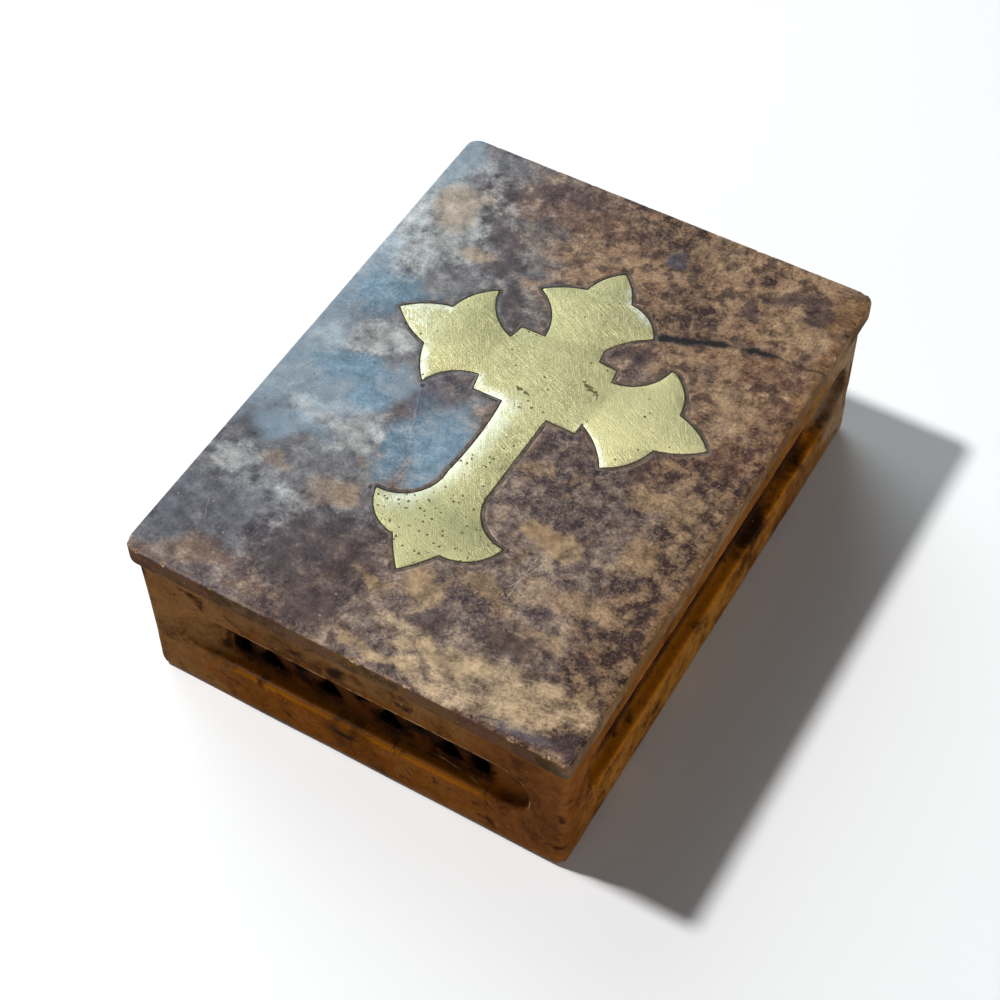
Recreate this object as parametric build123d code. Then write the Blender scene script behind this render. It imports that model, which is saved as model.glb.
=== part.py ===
from build123d import *
import os

# Soapstone trinket box with a lift-off lid and a brass cross let into the lid.
# Millimetres. The origin is the middle of the underside, +Y runs to the head of the cross
# along the longer side, and +Z is up.

# Block that the box is carved from
body_length = 99.4
body_width = 74.0
body_height = 28.4
body_corner = 1.3
body_near_corner = 1.4
foot_edge = 1.0
rim_edge = 0.3

# Hollow inside
wall = 6.2
floor_thickness = 7.0
cavity_corner = 3.5
cavity_cove = 1.5

# Lid slab and the tongue under it that keeps it in place
lid_thickness = 3.6
lid_overhang = 1.1
lid_corner = 2.2
lid_near_corner = 0.7
lid_top_edge = 0.3
lid_under_edge = 0.2
tongue_depth = 2.4
tongue_clearance = 0.5
tongue_edge = 0.4

# Shallow recess in each side, cut by hand, so the long ones sit a little off the middle
recess_foot = 9.2
recess_depth = 2.7
recess_corner = 4.9
recess_cove = 0.8
short_recess_length = 61.8
short_recess_height = 11.1
long_recess_length = 88.5
long_recess_height = 11.7
long_recess_shift = 2.15

# Pierced openings in the back of each recess: upright triangles by turns with hanging ones,
# and a narrow slot at each end of the row
opening_pitch = 5.3
opening_end_margin = 9.0
opening_foot = 2.0
upright_width = 5.2
upright_height = 4.0
hanging_width = 6.0
hanging_height = 5.1
hanging_foot = 2.5
slot_width = 2.6
slot_height = 6.4
opening_corner = 0.35

# Brass sheet and the cement that holds it in its pocket
sheet_thickness = 1.0
bed_thickness = 0.3
joint_width = 0.4
joint_sink = 0.1

# Hand-cut outline of the cross, clockwise from its head, on the lid's top with the box's own
# X and Y. Each entry is where a cut ends and, for a curved cut, a point it passes through.
cross_head = (0.6, 35.0)
cross_cuts = (
    # right edge of the head, its lobe and the neck
    ((4.65, 29.5), (3.1, 32.4)),
    ((11.2, 24.6), (8.6, 28.0)),
    ((5.6, 18.7), (8.0, 22.1)),
    ((6.0, 16.1), None),
    # shoulder of the middle block
    ((9.3, 15.9), None),
    ((9.75, 13.3), None),
    # right arm with its blunt upper lobe, point and lower lobe
    ((16.85, 20.1), (14.2, 15.1)),
    ((17.65, 19.95), None),
    ((22.1, 12.7), (20.45, 17.4)),
    ((29.1, 8.4), (25.6, 11.3)),
    ((21.8, 4.5), (25.5, 5.8)),
    ((16.25, -2.6), (20.3, 0.9)),
    ((9.8, 3.6), (13.2, 1.25)),
    ((9.8, 1.4), None),
    # stem down to the foot
    ((4.55, 1.5), None),
    ((4.45, -14.5), None),
    ((11.45, -23.2), (6.1, -20.5)),
    ((3.8, -28.8), (8.9, -27.2)),
    ((-0.4, -34.1), (1.95, -31.5)),
    ((-4.3, -28.8), (-2.5, -31.5)),
    ((-11.1, -22.6), (-8.6, -26.9)),
    ((-3.3, -14.5), (-5.3, -20.4)),
    ((-3.3, 1.6), (-2.9, -2.8)),
    # middle block and the left arm
    ((-8.5, 1.5), None),
    ((-9.2, 4.5), None),
    ((-16.3, -1.1), (-13.6, 2.7)),
    ((-20.2, 5.8), (-18.7, 2.1)),
    ((-27.75, 10.6), (-24.1, 7.6)),
    ((-20.2, 14.75), (-24.1, 13.4)),
    ((-15.5, 21.6), (-19.0, 18.1)),
    ((-8.9, 13.8), (-13.4, 17.0)),
    ((-8.35, 16.5), None),
    # left side of the neck and head
    ((-4.15, 16.6), None),
    ((-9.8, 25.4), (-5.95, 21.9)),
    ((-3.2, 28.9), (-6.6, 27.6)),
    ((0.6, 35.0), (-1.85, 32.4)),
)

# Worked out from the sizes above
cavity_length = body_length - 2 * wall
cavity_width = body_width - 2 * wall
lid_length = body_length + 2 * lid_overhang
lid_width = body_width + 2 * lid_overhang
lid_top = body_height + lid_thickness
panel_thickness = wall - recess_depth


def block_outline(width, length, corner, near_corner):
    # Rectangle with rounded corners, its near right one crisper than the worn ones
    outline = Rectangle(width, length)
    near = max(outline.vertices(), key=lambda vertex: vertex.X - vertex.Y)
    outline = fillet(near, near_corner)
    worn = [vertex for vertex in outline.vertices() if vertex.X < 0 or vertex.Y > 0]
    return fillet(worn, corner)


def side_plane(across, along, toward_x, toward_y):
    # Upright plane on one side of the block, its X along the side and its normal outward
    middle = (toward_x * body_width / 2, toward_y * body_length / 2, 0)
    return Plane(origin=middle, x_dir=(across, along, 0), z_dir=(toward_x, toward_y, 0))


# Each side's plane with the length, height and shift of its recess
sides = (
    (side_plane(1, 0, 0, -1), short_recess_length, short_recess_height, 0),
    (side_plane(-1, 0, 0, 1), short_recess_length, short_recess_height, 0),
    (side_plane(0, 1, 1, 0), long_recess_length, long_recess_height, long_recess_shift),
    (side_plane(0, -1, -1, 0), long_recess_length, long_recess_height, -long_recess_shift),
)


def recess_cutter(plane, length, height, shift):
    # Round-ended trough with coved inner corners, sunk into one side
    middle = recess_foot + height / 2
    outline = plane * Pos(shift, middle) * RectangleRounded(length, height, recess_corner)
    trough = extrude(outline, amount=-recess_depth)
    back = trough.faces().sort_by(Axis(plane.origin, plane.z_dir))[0]
    return fillet(back.edges(), recess_cove)


def triangle(width, height):
    # Upright triangle with eased corners, its foot on the local X axis
    corners = ((-width / 2, 0), (width / 2, 0), (0, height))
    outline = make_face(Polyline(*corners, close=True))
    return fillet(outline.vertices(), opening_corner)


def opening_outline(step, last):
    # One opening of a row: the end ones are slots, the odd ones upright, the even ones hanging
    if abs(step) == last:
        return Pos(0, slot_height / 2) * RectangleRounded(slot_width, slot_height, opening_corner)
    if step % 2:
        return triangle(upright_width, upright_height)
    return Pos(0, hanging_foot + hanging_height) * Rot(0, 0, 180) * triangle(hanging_width, hanging_height)


def opening_cutters(plane, length, height, shift):
    # Row of openings through the thin panel behind one recess
    last = int((length / 2 - opening_end_margin) / opening_pitch)
    foot = recess_foot + opening_foot
    cutters = []
    for step in range(-last, last + 1):
        place = plane * Pos(shift + step * opening_pitch, foot)
        outline = place * opening_outline(step, last)
        cutters.append(extrude(outline, amount=-(recess_depth + panel_thickness + wall)))
    return cutters


def box_body():
    # Hollowed block with its four recesses and the pierced openings behind them
    outline = block_outline(body_width, body_length, body_corner, body_near_corner)
    block = extrude(outline, amount=body_height)
    foot = block.faces().sort_by(Axis.Z)[0]
    block = fillet(foot.edges(), foot_edge)
    rim = block.faces().sort_by(Axis.Z)[-1]
    block = chamfer(rim.edges(), rim_edge)
    mouth = RectangleRounded(cavity_width, cavity_length, cavity_corner)
    hollow = Pos(0, 0, floor_thickness) * extrude(mouth, amount=body_height)
    hollow = fillet(hollow.faces().sort_by(Axis.Z)[0].edges(), cavity_cove)
    block -= hollow
    for side in sides:
        block -= recess_cutter(*side)
        block -= opening_cutters(*side)
    return block


def cross_outline():
    # Flat outline of the brass, from lines and arcs
    start = cross_head
    edges = []
    for end, through in cross_cuts:
        if through is None:
            edges.append(Line(start, end))
        else:
            edges.append(ThreePointArc(start, through, end))
        start = end
    return make_face(edges)


def pocket():
    # Hollow in the lid that holds the brass and its cement
    outline = offset(cross_outline(), amount=joint_width, kind=Kind.ARC)
    return Pos(0, 0, lid_top - sheet_thickness - bed_thickness) * extrude(outline, amount=lid_thickness)


def lid():
    # Slab with eased edges, a tongue beneath and the pocket in its top
    outline = block_outline(lid_width, lid_length, lid_corner, lid_near_corner)
    slab = extrude(outline, amount=lid_thickness)
    slab = fillet(slab.faces().sort_by(Axis.Z)[-1].edges(), lid_top_edge)
    slab = chamfer(slab.faces().sort_by(Axis.Z)[0].edges(), lid_under_edge)
    tongue_outline = RectangleRounded(
        cavity_width - 2 * tongue_clearance,
        cavity_length - 2 * tongue_clearance,
        cavity_corner - tongue_clearance,
    )
    tongue = extrude(tongue_outline, amount=-tongue_depth)
    tongue = chamfer(tongue.faces().sort_by(Axis.Z)[0].edges(), tongue_edge)
    return Pos(0, 0, body_height) * (slab + tongue) - pocket()


def brass_cross():
    # Sheet brass, flush with the lid's top
    return Pos(0, 0, lid_top - sheet_thickness) * extrude(cross_outline(), amount=sheet_thickness)


def setting_cement():
    # Thin bed under the brass and the joint line round it, a little below the surface
    above = Pos(0, 0, lid_top - joint_sink) * Box(
        lid_width, lid_length, lid_thickness + joint_sink, align=(Align.CENTER, Align.CENTER, Align.MIN)
    )
    return pocket() - above - brass_cross()


nodes = {
    "box_body": box_body,
    "lid": lid,
    "brass_cross": brass_cross,
    "setting_cement": setting_cement,
}
os.makedirs("parts", exist_ok=True)
for name, build in nodes.items():
    export_step(build(), "parts/" + name + ".step")
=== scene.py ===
import math
import random
from functools import reduce

import bmesh
import bpy
import numpy as np
from mathutils import Matrix, Vector, noise
from mathutils.bvhtree import BVHTree
from mathutils.kdtree import KDTree


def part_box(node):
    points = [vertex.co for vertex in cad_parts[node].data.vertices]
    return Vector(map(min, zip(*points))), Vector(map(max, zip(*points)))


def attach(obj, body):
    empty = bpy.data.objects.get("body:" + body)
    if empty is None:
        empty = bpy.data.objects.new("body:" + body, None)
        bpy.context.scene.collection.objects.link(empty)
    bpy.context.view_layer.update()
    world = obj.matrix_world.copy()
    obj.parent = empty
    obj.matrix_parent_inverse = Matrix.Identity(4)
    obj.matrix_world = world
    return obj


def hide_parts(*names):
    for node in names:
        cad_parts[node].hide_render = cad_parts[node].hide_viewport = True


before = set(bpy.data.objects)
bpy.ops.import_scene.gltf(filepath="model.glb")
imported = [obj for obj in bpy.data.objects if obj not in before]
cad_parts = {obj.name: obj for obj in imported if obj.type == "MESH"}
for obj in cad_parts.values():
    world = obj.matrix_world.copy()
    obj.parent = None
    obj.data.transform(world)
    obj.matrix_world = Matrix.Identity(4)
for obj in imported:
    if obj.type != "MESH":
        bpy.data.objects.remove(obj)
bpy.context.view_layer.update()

bl_info = {
    "name": "Soapstone trinket box",
    "version": (1, 0, 0),
    "blender": (4, 5, 0),
    "location": "3D View > Sidebar > Trinket box",
    "description": "Carves, wears and finishes a soapstone box with a brass cross let into its lid",
    "category": "Mesh",
}

MM = 0.001
lid_low, lid_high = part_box("lid")
body_low, body_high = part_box("box_body")
cross_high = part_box("brass_cross")[1]
lid_top = lid_high.z / MM

# Most triangles that a carved stone keeps, and the gaps in metres within which two points of
# a solid are one, or a point lies in its top face
most_triangles = 190000
merge_gap = 1e-6
top_gap = 1e-5

# Recesses in the body's sides, measured up from the underside and in from each side, and how
# deep the near one is with its rubbed end. Millimetres.
recess_lip = 9.4
recess_foot = 8.2
recess_head = 22.5
recess_back = 2.72
near_recess_depth = 3.2
openings_foot = 10.9
openings_middle = 14.5
hollow_start = 5.8

# How high the cement stands above its CAD solid, how far from the brass its outer edge
# starts, and how far above the lid a slip of the pocket's cutter has its middle. Millimetres.
cement_lift = 0.065
cement_outer = 0.2
slip_lift = 0.15

# How deep the lid's clouds reach. Millimetres.
cloud_depth = 9

# Camera: its place and aim in millimetres, its roll in degrees and its focal length
camera_place = (105.12, -178.9, 279.82)
camera_aim = (0.0, -4.96, 16.0)
camera_roll = -0.856
camera_lens = 75.02

# Floor and key light in metres, and the ways toward the key light, window and fills
floor_radius = 4.0
key_size = 0.1
key_distance = 1.1
toward_key = (-0.5, -0.11, 0.86)
toward_window = (-0.72, 0.52, 0.46)
toward_fill = (0.99, -0.05, 0.04)
toward_front = (0.2, -0.95, 0.24)

# Clouds in the lid's colour by kind, seen from above: middle in X and Y, half width and half
# length in millimetres, then the turn in degrees of those that are turned. Gloom darkens the
# mottling. The blue sheen, the brightest grey by the left edge and the steel blue clouds are
# painted reflection of the window on the left.
lid_clouds = {
    "brown": ((18, 38, 32, 20), (31, 14, 12, 20), (33, -44, 9, 8), (36, -18, 8, 34)),
    "gloom": (
        (36, -22, 8, 38), (2, 47, 18, 6), (10, -1, 6, 6), (-11, 0, 4, 4), (15, -7, 11, 10),
        (23, -1, 7, 7), (20, 6, 14, 5), (12, 31, 8, 5), (-32, -42, 10, 7), (-9, -35, 6, 7),
        (13, -33, 7, 5), (-33, -24, 7, 8), (-14, -3, 5, 5), (22, -50.5, 14, 2.6),
    ),
    # painted reflection: the window's blue sheen on the lid's left part
    "haze": (
        (-38, 44, 4.5, 9), (-38, 14, 5, 12), (-37, -6, 7, 14), (-27, -8, 8, 7, 14), (-20, -3, 5, 3),
        (-7.5, -9, 3, 8), (-29, -19, 7, 2.6, 12), (-5.5, -12, 4, 8),
    ),
    # painted reflection: the brightest grey by the left edge is the window's sheen
    "bright": ((-38, 26, 4.5, 11), (-31, 20, 4, 4), (-16.5, -12.5, 1.8, 3.5)),
    "pale": (
        (-31, 32, 9, 12), (-31, 24, 7, 5, 10), (-28.6, 2.5, 10, 3.2, 21), (-27, -16, 5.5, 3.2, 20),
        (-19.5, -15, 4, 4), (-25, -33, 5, 3.4), (-33, -28, 4, 3, 30),
    ),
    "ochre": (
        (-31, 34.5, 3.8, 6.4, -16), (-23.5, 26, 3.4, 2), (16.5, -18, 4.4, 2.2, -10),
        (4.6, -35.5, 3.4, 3.4), (-2.5, -37.6, 2.6, 1.3), (15, -43.5, 5.5, 1.9, -6),
        (5, -48.5, 6, 1.4, -8),
    ),
    "plum": (
        (-22, 44, 8, 2.4, 20), (-21, 32, 3.2, 12, 33), (-13, 19, 3.6, 5, 20), (-15, -38, 8, 8),
        (-8, -38, 6, 6), (-8, -45, 7, 6), (26, 42.7, 3.2, 2), (33, 41.5, 2.6, 2.2),
        (21.7, 38.4, 2.2, 1.6), (30, 44, 3, 1.8), (10.5, 20, 3, 2.6), (20, -37, 5, 2.6),
        (9, -40, 4.5, 1.8, 15), (35.6, -49.6, 3.4, 1.5), (28.5, -40, 3.4, 1.3),
    ),
    # painted reflection: the window's blue reflection, mottled like the stone
    "steel": (
        (-31, 12, 7, 5.5, 20), (-22, -8, 4, 4), (-27, -4.5, 7, 3.4, 15), (-12, -13, 3.2, 9.5),
        (-7.2, -12, 4.2, 8.5),
    ),
    "slate": (
        (-13, -3.5, 4.2, 5.4), (-33, -19, 4.5, 4.5), (-25, -36, 9, 5), (-35, -41, 6, 6),
        (5.5, 42.6, 1.7, 1.3), (29, -49, 5.5, 1.2, -4),
    ),
    "amber": ((37.9, -12, 1, 26), (36, 46, 3.2, 5), (37.6, 28, 1.6, 14)),
    "tan": (
        (-17, -27, 4.5, 2.6, 15), (-27.5, -26, 2.4, 1.4), (-14, -19.5, 2, 1.4),
        (-29, -46.5, 5, 2.2, 8), (-33, -49.5, 4, 1.6), (34, -43, 5, 4.5), (27, -26, 5, 2.4, 20),
        (12.5, -31, 5, 2, -20), (22, -35.5, 5, 2.2, 15), (8, -8, 2.6, 1.6), (26, -4, 3.4, 2.4),
        (30, -14, 3, 3.4),
    ),
    "rust": (
        (-12, -48, 12, 3.4), (-18, -2, 4, 2.4), (-16.5, -7, 2, 4), (30, 27.4, 6, 3, 10),
        (35.5, 20, 3, 8), (32, 8, 4.5, 3), (-26, -45.5, 5.5, 3.5), (25, -49.8, 13, 1.6),
        (-14, 44, 11, 5),
    ),
    "sand": ((12, 46, 6, 3.5), (30, 38, 5, 3.4), (30, 18, 5.5, 4), (31, -3, 4, 6), (22, -27, 5, 3)),
    "cream": ((12, -43.6, 8.5, 2.4, -4), (25, -44.5, 12, 4.2, 4), (10, -48.4, 8, 1.3, -6)),
}

# Clouds on the lid's sides: middle and half extents in X, Y and Z. Millimetres.
lid_side_clouds = {
    "honey": (
        (1, -50.5, 31.6, 2.4, 1.6, 1.2), (14, -50.5, 29.9, 9, 1.6, 2.2),
        (27.5, -50.5, 31, 2.6, 1.4, 1.6), (37.8, -26, 30.4, 1.4, 14, 2.2),
        (37.8, 22, 30.6, 1.4, 12, 1.4), (-37.8, -20, 30, 1.4, 16, 2),
        (-18, 50.5, 30, 9, 1.5, 2),
    ),
    "rust": ((-30, -50.5, 30.6, 7, 1.6, 2),),
    "olive": (
        (34, -50.5, 30, 4, 1.4, 2.6), (37.8, 42, 30, 1.4, 6, 2),
        (-37.8, 18, 30.2, 1.4, 12, 2.4), (12, 50.5, 30.2, 14, 1.5, 2.2),
    ),
}

# Clouds in the body's stone, in the same way; the first kind stands for its dark inclusions
body_clouds = {
    "soot": (
        (-1.8, -49, 24.3, 2, 3, 1.1), (1.6, -49, 24.7, 1.7, 3, 0.9), (-8.4, -49, 23.6, 1.6, 3, 0.9),
        (11, -49, 24.3, 2, 3, 1.1), (-35.6, -49, 24.9, 1.2, 3, 0.8),
        (-16.6, -48.4, 9.6, 1.6, 1.4, 1), (-23.6, -47.5, 12.5, 0.9, 2, 1.4),
        (-22, -49, 6.6, 2.6, 3, 0.9), (-1.2, -49, 6, 1.5, 3, 0.8), (-12.3, -49, 3.5, 1.6, 3, 0.8),
        (9.3, -49, 3.5, 1.6, 3, 0.9), (24, -49, 3.5, 2.2, 3, 0.7), (21.6, -49, 7.1, 1.2, 3, 0.7),
        (36.3, -49, 6, 0.9, 1.5, 0.8), (36.6, -48.8, 9.5, 0.7, 1.2, 1.1),
        (36.8, -48.5, 13.2, 0.6, 1.2, 1.3), (36.8, -48.2, 17, 0.6, 1.2, 1.1),
        (34.6, 14, 10.2, 3, 8.5, 2.6), (34.5, -28, 10.6, 1, 3.4, 1.2), (34.6, 30, 10.6, 3, 5.5, 2.4),
        (34.6, -43, 11, 3, 3, 2.4), (36.6, -20, 5, 2, 1.4, 1.2), (36.6, -7, 6, 2, 1.1, 1),
        (36.6, -33, 3.6, 2, 1.2, 0.9), (-36.6, -8, 6, 2, 2.6, 1.4), (-36.6, 24, 23.6, 2, 2, 1.1),
        (14, 48.8, 5.5, 2.2, 3, 1.1), (-18, 48.8, 24.2, 1.8, 3, 0.9),
    ),
    "umber": (
        (-31, -49, 15, 11, 6, 17), (-6, -49, 25.5, 24, 5, 3.6), (37, 36, 14, 5, 10, 16),
        (-37, 12, 16, 5, 20, 12),
    ),
    "russet": ((31, -49, 15, 9, 6, 15), (37, -40, 16, 5, 9, 14), (4, 49, 14, 18, 5, 12)),
    "honey": (
        (-2, -49, 5.5, 26, 5, 5.4), (2, -46.8, 10, 26, 2.4, 3), (-37, -22, 8, 5, 18, 7),
        (-22, 49, 7, 10, 5, 6),
    ),
    # the first gold cloud lies along the right recess's ledge and is painted light there
    "gold": ((34.8, -12, 10, 3, 26, 3), (34.8, 22, 8, 3, 3, 2), (36.6, -10, 5, 3, 30, 5)),
    "ash": ((37, 47, 15, 5, 8, 17),),
}

# Crack across the lid from the cross to the right edge
lid_crack = (
    (10.6, 24.5), (13.4, 26.0), (16.3, 27.2), (20.7, 29.1), (24.6, 29.9), (30.3, 31.1), (33.9, 30.9),
    (38.4, 31.7),
)

# Scratches on the lid, each from end to end
lid_scratches = (
    ((16.6, -20.8), (16.3, -30.2)), ((17.8, -22.5), (15.6, -28.8)), ((-36.0, -31.6), (-32.6, -30.0)),
    ((16.0, 44.6), (17.2, 47.4)), ((32.6, 1.4), (33.6, 3.4)), ((-15.6, -3.0), (-10.4, -15.0)),
    ((-31.8, -37.0), (-29.8, -41.2)), ((-19.6, 23.6), (-16.2, 23.2)), ((1.8, -49.6), (3.4, -48.6)),
)

# Where the pocket's cutter ran past the brass, with the radius of each slip
pocket_overruns = ((-15.6, -2.0, 0.42), (16.6, -3.3, 0.4), (12.3, -23.1, 0.5), (-11.7, -23.1, 0.42))

# Chips broken out of the lid's top edge: place on the edge, then the radius of the scoop
lid_chips = (
    (-38.1, -49.4, 1.6), (-37.2, -50.8, 1.5), (-35.4, -50.8, 0.9), (-30.5, -50.8, 0.9),
    (-22.0, -50.8, 0.8), (2.9, -50.8, 1.5), (8.5, -50.8, 0.9), (12.0, -50.8, 0.8),
    (28.8, -50.8, 1.2), (34.3, -50.8, 0.9), (35.6, -50.8, 0.7), (36.8, -50.8, 0.9),
    (38.1, -46.2, 0.7), (38.1, -37.3, 1.0), (38.1, -35.6, 0.9), (38.1, -31.4, 0.8),
    (38.1, -28.6, 1.0), (38.1, -21.2, 0.8), (38.1, 2.1, 1.0), (38.1, 13.9, 0.9),
    (38.1, 32.5, 1.0), (38.1, 35.2, 1.1), (38.1, 43.6, 1.0), (36.2, 50.8, 0.8),
    (-38.1, 12.0, 0.8), (-38.1, -24.0, 0.8), (17.0, 50.8, 0.6), (-38.1, 46.0, 0.8),
)

# Chips at the body's foot, one by each corner: middle and radius
body_chips = (
    ((37.0, -49.7, 0.6), 1.3), ((-37.0, -49.7, 0.6), 1.1),
    ((37.0, 49.7, 0.6), 1.4), ((-37.0, 49.7, 0.6), 1.2),
)

# Thin lines by the recesses that are seen, the last two on the right side; the pale ones are
# painted highlights along the lips' edges. 1 for a pale line or 0 for a dark one, half width,
# how much each axis counts, then places in X, Y and Z
lip_lines = (
    (1, 0.05, (1, 0.5, 1), ((7.0, -47.2, 9.7), (15.2, -47.1, 9.7), (20.0, -47.6, 9.4))),
    (1, 0.08, (1, 0.5, 1), (
        (20.0, -47.6, 9.4), (22.7, -48.4, 9.2), (25.4, -49.2, 9.2), (27.5, -49.6, 9.3),
    )),
    (0, 0.22, (1, 0.5, 1), (
        (23.0, -48.3, 9.2), (23.6, -49.8, 8.6), (24.2, -49.8, 7.8), (25.2, -49.8, 7.2),
    )),
    (1, 0.17, (1, 0.1, 1), (
        (-30.6, -49.7, 17.0), (-29.6, -49.7, 18.8), (-27.6, -49.7, 20.2), (-20.0, -49.7, 20.7),
    )),
    (1, 0.17, (1, 0.1, 1), (
        (-20.0, -49.7, 20.7), (0.0, -49.7, 20.9), (24.0, -49.7, 20.8), (27.4, -49.7, 20.4),
    )),
    (1, 0.11, (1, 0.1, 1), (
        (27.4, -49.7, 20.4), (30.1, -49.7, 18.6), (31.3, -49.7, 15.0), (30.9, -49.7, 12.6),
    )),
    (1, 0.19, (0.1, 1, 1), (
        (37.0, -40.8, 13.0), (37.0, -38.8, 19.6), (37.0, -34.0, 21.3), (37.0, 0.0, 21.4),
    )),
    (1, 0.17, (0.1, 1, 1), ((37.0, 0.0, 21.4), (37.0, 42.0, 21.2), (37.0, 45.8, 17.0))),
)

# Painted highlights along the brass's edges, and its stem's painted bright sheen and dull streak
highlit_edges = (
    ((-3.2, 1.4), (-2.9, -4.0), (-3.2, -14.0), (-5.0, -19.0)),
    ((-27.4, 10.7), (-24.0, 13.2), (-20.4, 14.3)),
    ((-19.8, 5.6), (-18.2, 1.8), (-16.4, -0.6)),
    ((-9.0, 4.2), (-8.2, 1.9), (-4.0, 1.9)),
    ((10.2, 3.0), (13.2, 1.0), (16.2, -2.0)),
    ((8.6, 27.6), (4.9, 29.4), (3.3, 32.0)),
)
painted_stem_sheen = ((-2.6, 0.5), (-3.2, -13.0), (-7.5, -22.0))
dull_streak = ((1.6, -3.0), (2.4, -10.0))

# Larger pits in the middle of the brass: radius and the line that each spreads along
brass_pits = (
    (0.44, ((6.7, 10.9), (7.4, 10.5))), (0.3, ((7.9, 10.3), (8.5, 10.1))),
    (0.26, ((9.0, 9.8), (9.4, 9.4))), (0.2, ((5.9, 11.3), (6.2, 11.3))),
    (0.42, ((-2.5, 5.0), (-1.9, 4.9))), (0.24, ((-1.0, 4.9), (-0.3, 4.6))),
    (0.18, ((-1.2, 1.9), (-0.9, 1.6))), (0.14, ((-0.3, 1.7), (0.1, 1.6))),
)


def colour(name, about, value):
    """Colour property of a finish."""
    return bpy.props.FloatVectorProperty(
        name=name, description=about, subtype="COLOR", size=3, min=0, max=1, default=value
    )


def length(name, about, value):
    """Length property of a piece."""
    return bpy.props.FloatProperty(name=name, description=about, unit="LENGTH", min=0, default=value)


def share(name, about, value, most=1.0):
    """Plain number property of a finish."""
    return bpy.props.FloatProperty(name=name, description=about, min=0, max=most, default=value)


class LidStone(bpy.types.PropertyGroup):
    """Sizes and colours of the mottled lid"""

    grain: length("Grain", "Size of the quads that the lid is carved in", 0.3 * MM)
    sway: length("Sway", "How far the hand-rubbed faces dip", 0.05 * MM)
    mauve_dark: colour("Dark mauve", "Dark flecks by the near end", (0.046, 0.032, 0.036))
    mauve: colour("Mauve", "Middle tone by the near end", (0.178, 0.13, 0.108))
    mauve_light: colour("Light mauve", "Light flecks by the near end", (0.41, 0.3, 0.215))
    brown_dark: colour("Dark brown", "Dark flecks by the far end", (0.036, 0.019, 0.017))
    brown: colour("Brown", "Middle tone by the far end", (0.24, 0.145, 0.086))
    brown_light: colour("Light brown", "Light flecks by the far end", (0.41, 0.275, 0.165))
    cool_dark: colour("Dark grey", "Dark flecks of the cool stone", (0.07, 0.07, 0.082))
    cool: colour("Grey", "Middle tone of the cool stone", (0.152, 0.15, 0.158))
    cool_light: colour("Light grey", "Light flecks of the cool stone", (0.275, 0.275, 0.27))
    dark: colour("Speck", "Plum specks in clusters", (0.034, 0.019, 0.02))
    sand: colour("Sand", "Light sandy clouds", (0.315, 0.208, 0.118))
    rose: colour("Rose", "Thin light wisps and threads", (0.44, 0.35, 0.275))
    amber: colour("Amber", "Brown corner and right edge", (0.16, 0.083, 0.036))
    cream: colour("Cream", "Pale streaky corner", (0.415, 0.3, 0.182))
    ochre: colour("Ochre", "Ochre islands", (0.34, 0.225, 0.115))
    tan: colour("Tan", "Tan clouds", (0.27, 0.175, 0.098))
    plum: colour("Plum", "Plum veils", (0.056, 0.037, 0.04))
    rust: colour("Rust", "Maroon clouds", (0.11, 0.048, 0.032))
    # painted reflection: steel blue tone of the window's reflection on the left part
    steel: colour("Steel", "Steel blue clouds", (0.128, 0.232, 0.318))
    # painted reflection: the blue sheen of the window, put into the colour
    haze: colour("Haze", "Blue sheen of the polished stone", (0.265, 0.375, 0.46))
    # painted reflection: the window's sheen by the lid's left edge
    bright: colour("Bright", "Lightest grey by the left edge", (0.5, 0.53, 0.54))
    slate: colour("Slate", "Violet grey clouds", (0.092, 0.09, 0.112))
    pale: colour("Pale", "Pale grey clouds", (0.38, 0.39, 0.375))
    edge: colour("Edge", "Brown stone at the lid's near side", (0.12, 0.06, 0.023))
    # painted light: the right side's tone is lighter than the near side's, as light falls on it
    lit_right_side: colour("Flank", "Brown stone at the lid's right side", (0.215, 0.13, 0.07))
    honey: colour("Honey", "Glowing amber at the lid's sides", (0.165, 0.085, 0.024))
    olive: colour("Olive", "Dark olive stone at the lid's sides", (0.045, 0.025, 0.01))
    rub: colour("Rubbed stone", "Stone rubbed bare on edges", (0.33, 0.19, 0.1))
    # painted highlight along the worn edges of the cool left side
    painted_highlight: colour("Gleam", "Bright worn edge of the cool stone", (0.62, 0.68, 0.7))
    fresh: colour("Fresh stone", "Dusty stone in chips and scratches", (0.5, 0.4, 0.29))
    vein: colour("Vein", "Dark filling of the crack", (0.013, 0.014, 0.014))


class BodyStone(bpy.types.PropertyGroup):
    """Sizes and colours of the amber body"""

    grain: length("Grain", "Size of the quads that the body is carved in", 0.38 * MM)
    sway: length("Sway", "How far the hand-carved faces dip", 0.16 * MM)
    amber: colour("Amber", "Main tone of the stone", (0.165, 0.06, 0.011))
    bark: colour("Bark", "Darker clouds", (0.095, 0.033, 0.007))
    honey: colour("Honey", "Orange brown clouds", (0.14, 0.04, 0.001))
    gold: colour("Gold", "Lighter orange clouds", (0.27, 0.115, 0.02))
    ash: colour("Ash", "Greyed stone at the far end", (0.21, 0.142, 0.085))
    # painted light: orange put on the recesses' up-facing ledges, where light falls from above
    glow: colour("Glow", "Rubbed lips of the recesses", (0.285, 0.092, 0.003))
    # also painted shade on the recesses' back walls; round the openings, stain and shade
    stain: colour("Stain", "Oily red brown behind and round the openings", (0.05, 0.013, 0.002))
    umber: colour("Umber", "Grey brown clouds", (0.172, 0.082, 0.027))
    russet: colour("Russet", "Reddish brown clouds", (0.145, 0.048, 0.011))
    # also painted shade in the openings, the hollow behind them and the nooks
    soot: colour("Soot", "Dark inclusions", (0.014, 0.006, 0.003))
    # also the colour of the painted highlight lines along the recesses' lips
    dust: colour("Dust", "Rubbed edges and tool marks", (0.42, 0.27, 0.11))


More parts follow.
